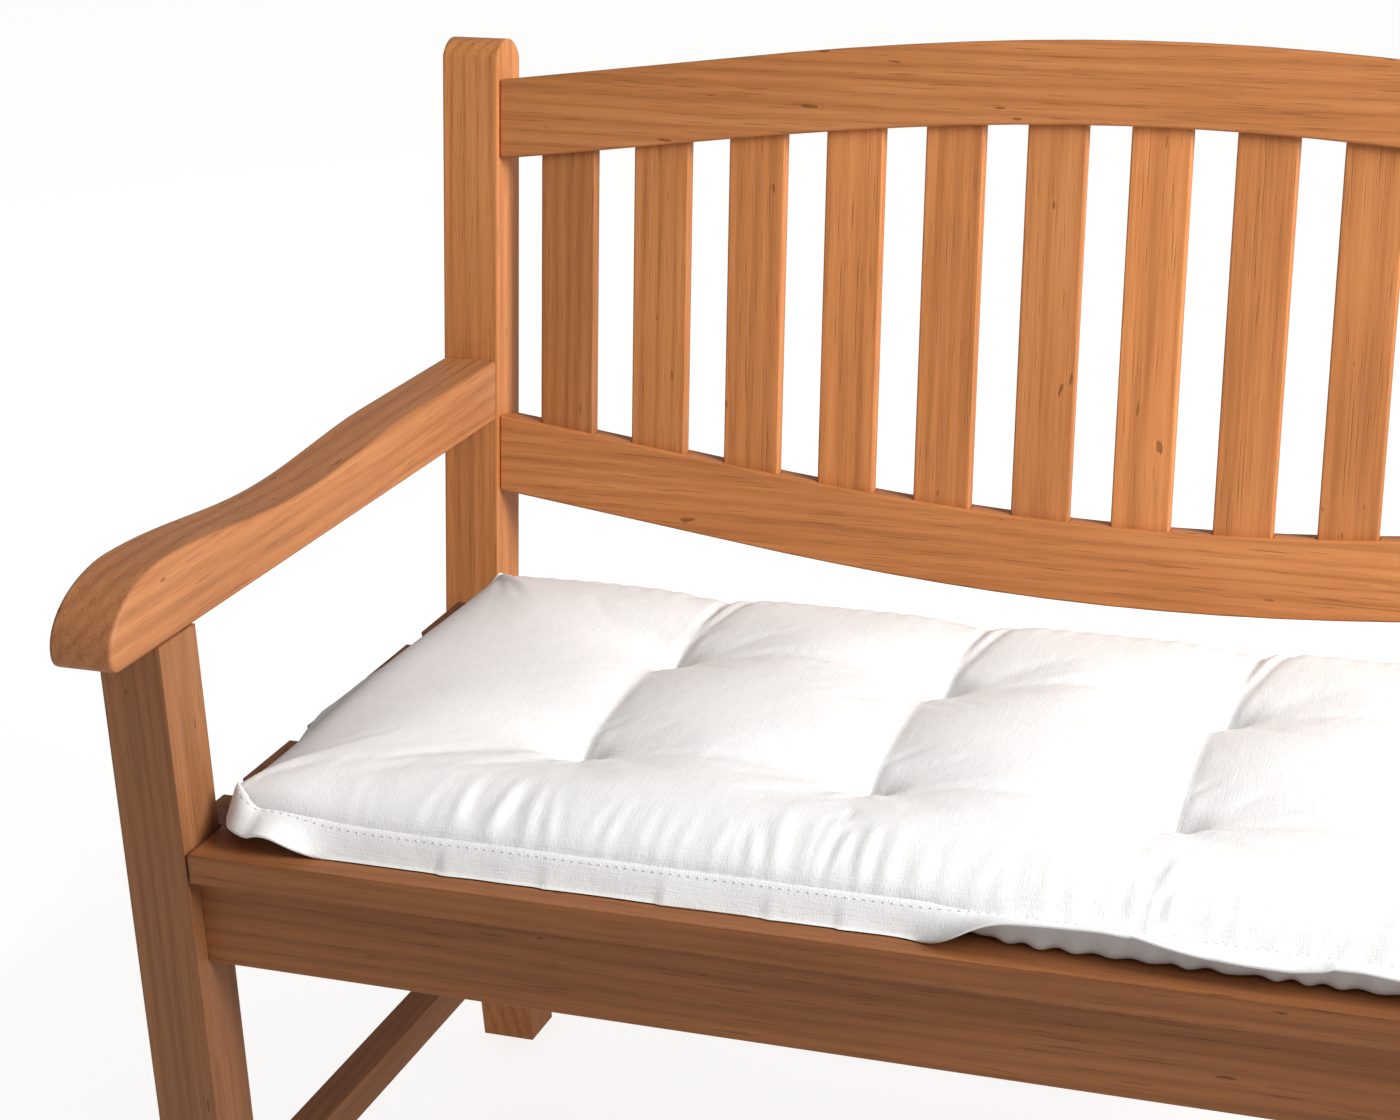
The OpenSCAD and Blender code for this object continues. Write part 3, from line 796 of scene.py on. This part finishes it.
def cotton(name, shade):
    """Plain-woven cotton: a fine weave, slubs and faint creases, with a soft sheen."""
    material, nodes, links, shader = new_material(name)
    place = nodes.new("ShaderNodeTexCoord").outputs["Object"]
    cloud = noise_value(nodes, links, place, (7.0, 7.0, 7.0), 3.0, 0.5)
    light, dark = shade, tuple(0.955 * c for c in shade)
    colour = ramp(nodes, links, cloud, [(0.35, dark), (0.65, light)])
    slub_x = noise_value(nodes, links, place, (60.0, 1500.0, 300.0), 1.0)
    slub_y = noise_value(nodes, links, place, (1500.0, 60.0, 300.0), 1.0)
    weave = reckon(nodes, links, "MULTIPLY", slub_x, slub_y)
    fleck = ranged(nodes, links, weave, 0.15, 0.35, 0.0, 0.06)
    colour = mixed(nodes, links, "MIX", fleck, colour, tuple(0.80 * c for c in shade))
    links.new(colour, shader.inputs["Base Color"])
    links.new(ranged(nodes, links, weave, 0.15, 0.35, 0.92, 0.78), shader.inputs["Roughness"])
    shader.inputs["Specular IOR Level"].default_value = 0.2
    shader.inputs["Sheen Weight"].default_value = 0.12
    shader.inputs["Sheen Roughness"].default_value = 0.4
    crumple = noise_value(nodes, links, place, (45.0, 45.0, 45.0), 3.0, 0.5)
    height = reckon(nodes, links, "MULTIPLY_ADD", crumple, 1.6, weave)
    bumped(nodes, links, shader, height, 0.00045)
    return material


def cushion():
    """The whole cushion, riding on its body and standing for its plain solid."""
    pad, rim = pad_body()
    edge, seam = hem(rim)
    thread = stitches(seam + np.array([0, 0, STITCH_RISE]))
    thread.data.materials.append(cotton("thread", (0.80, 0.80, 0.79)))
    cloth = cotton("cushion_cotton", (0.86, 0.86, 0.857))
    for piece in (pad, edge):
        piece.data.materials.append(cloth)
    for piece in (pad, edge, thread):
        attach(piece, "cushion")
    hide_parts("cushion")


# ---------------------------------------------------------------- floor, light and camera

FLOOR_HALF = 30.0                     # half the floor's width
# Glow for rays that light the bench, and for rays straight to the camera.
FLOOR_GLOW = (0.34, 0.82)
SURROUND_GLOW = (0.30, 1.0)

KEY_PLACE = (2.1, -0.55, 1.95)
KEY_AIM = (0.0, 0.1, 0.6)
KEY_SIZE = 1.3
KEY_POWER = 116                       # W
KEY_COLOUR = (1.0, 0.998, 0.992)


def floor():
    """A wide pale floor."""
    mesh = bpy.data.meshes.new("floor")
    corners = [(FLOOR_HALF * x, FLOOR_HALF * y, 0) for x, y in ((-1, -1), (1, -1), (1, 1), (-1, 1))]
    mesh.from_pydata(corners, [], [(0, 1, 2, 3)])
    plane = bpy.data.objects.new("floor", mesh)
    bpy.context.scene.collection.objects.link(plane)
    material, nodes, links, shader = new_material("floor_paper")
    shader.inputs["Base Color"].default_value = (0.45, 0.45, 0.45, 1)
    shader.inputs["Roughness"].default_value = 0.9
    shader.inputs["Emission Color"].default_value = (1.0, 0.995, 0.99, 1)
    ray = nodes.new("ShaderNodeLightPath")
    glow = ranged(nodes, links, ray.outputs["Is Camera Ray"], 0, 1, *FLOOR_GLOW)
    links.new(glow, shader.inputs["Emission Strength"])
    mesh.materials.append(material)


def area_light(name, place, target, size, power, colour):
    """A soft square light aimed at a point."""
    data = bpy.data.lights.new(name, "AREA")
    data.size = size
    data.energy = power
    data.color = colour
    lamp = bpy.data.objects.new(name, data)
    lamp.location = place
    aim = Vector(target) - Vector(place)
    lamp.rotation_euler = aim.to_track_quat("-Z", "Y").to_euler()
    bpy.context.scene.collection.objects.link(lamp)


def studio_light():
    """A bright white surround, and one large soft light high on the right."""
    world = bpy.data.worlds.new("studio")
    bpy.context.scene.world = world
    world.use_nodes = True
    nodes, links = world.node_tree.nodes, world.node_tree.links
    ray = nodes.new("ShaderNodeLightPath")
    surround = nodes["Background"]
    surround.inputs["Color"].default_value = (1, 1, 1, 1)
    strength = ranged(nodes, links, ray.outputs["Is Camera Ray"], 0, 1, *SURROUND_GLOW)
    links.new(strength, surround.inputs["Strength"])
    area_light("key", KEY_PLACE, KEY_AIM, KEY_SIZE, KEY_POWER, KEY_COLOUR)


def camera():
    """The camera, turned by its yaw, pitch and roll."""
    yaw, pitch, roll = CAMERA_YAW, CAMERA_PITCH, CAMERA_ROLL
    level = Vector((math.cos(yaw), -math.sin(yaw), 0))
    ahead = Vector((math.sin(yaw) * math.cos(pitch),
                    math.cos(yaw) * math.cos(pitch),
                    -math.sin(pitch)))
    above = level.cross(ahead)
    right = math.cos(roll) * level + math.sin(roll) * above
    up = math.cos(roll) * above - math.sin(roll) * level
    data = bpy.data.cameras.new("camera")
    data.sensor_width = CAMERA_SENSOR
    data.lens = CAMERA_LENS
    data.shift_x, data.shift_y = CAMERA_SHIFT
    data.clip_start, data.clip_end = 0.05, 100
    made = bpy.data.objects.new("camera", data)
    turn = Matrix((right, up, -ahead)).transposed().to_4x4()
    made.matrix_world = Matrix.Translation(CAMERA_PLACE) @ turn
    bpy.context.scene.collection.objects.link(made)
    bpy.context.scene.camera = made
    bpy.context.scene.view_settings.view_transform = "Standard"


camera()
floor()
studio_light()
finish_frame()
cushion()
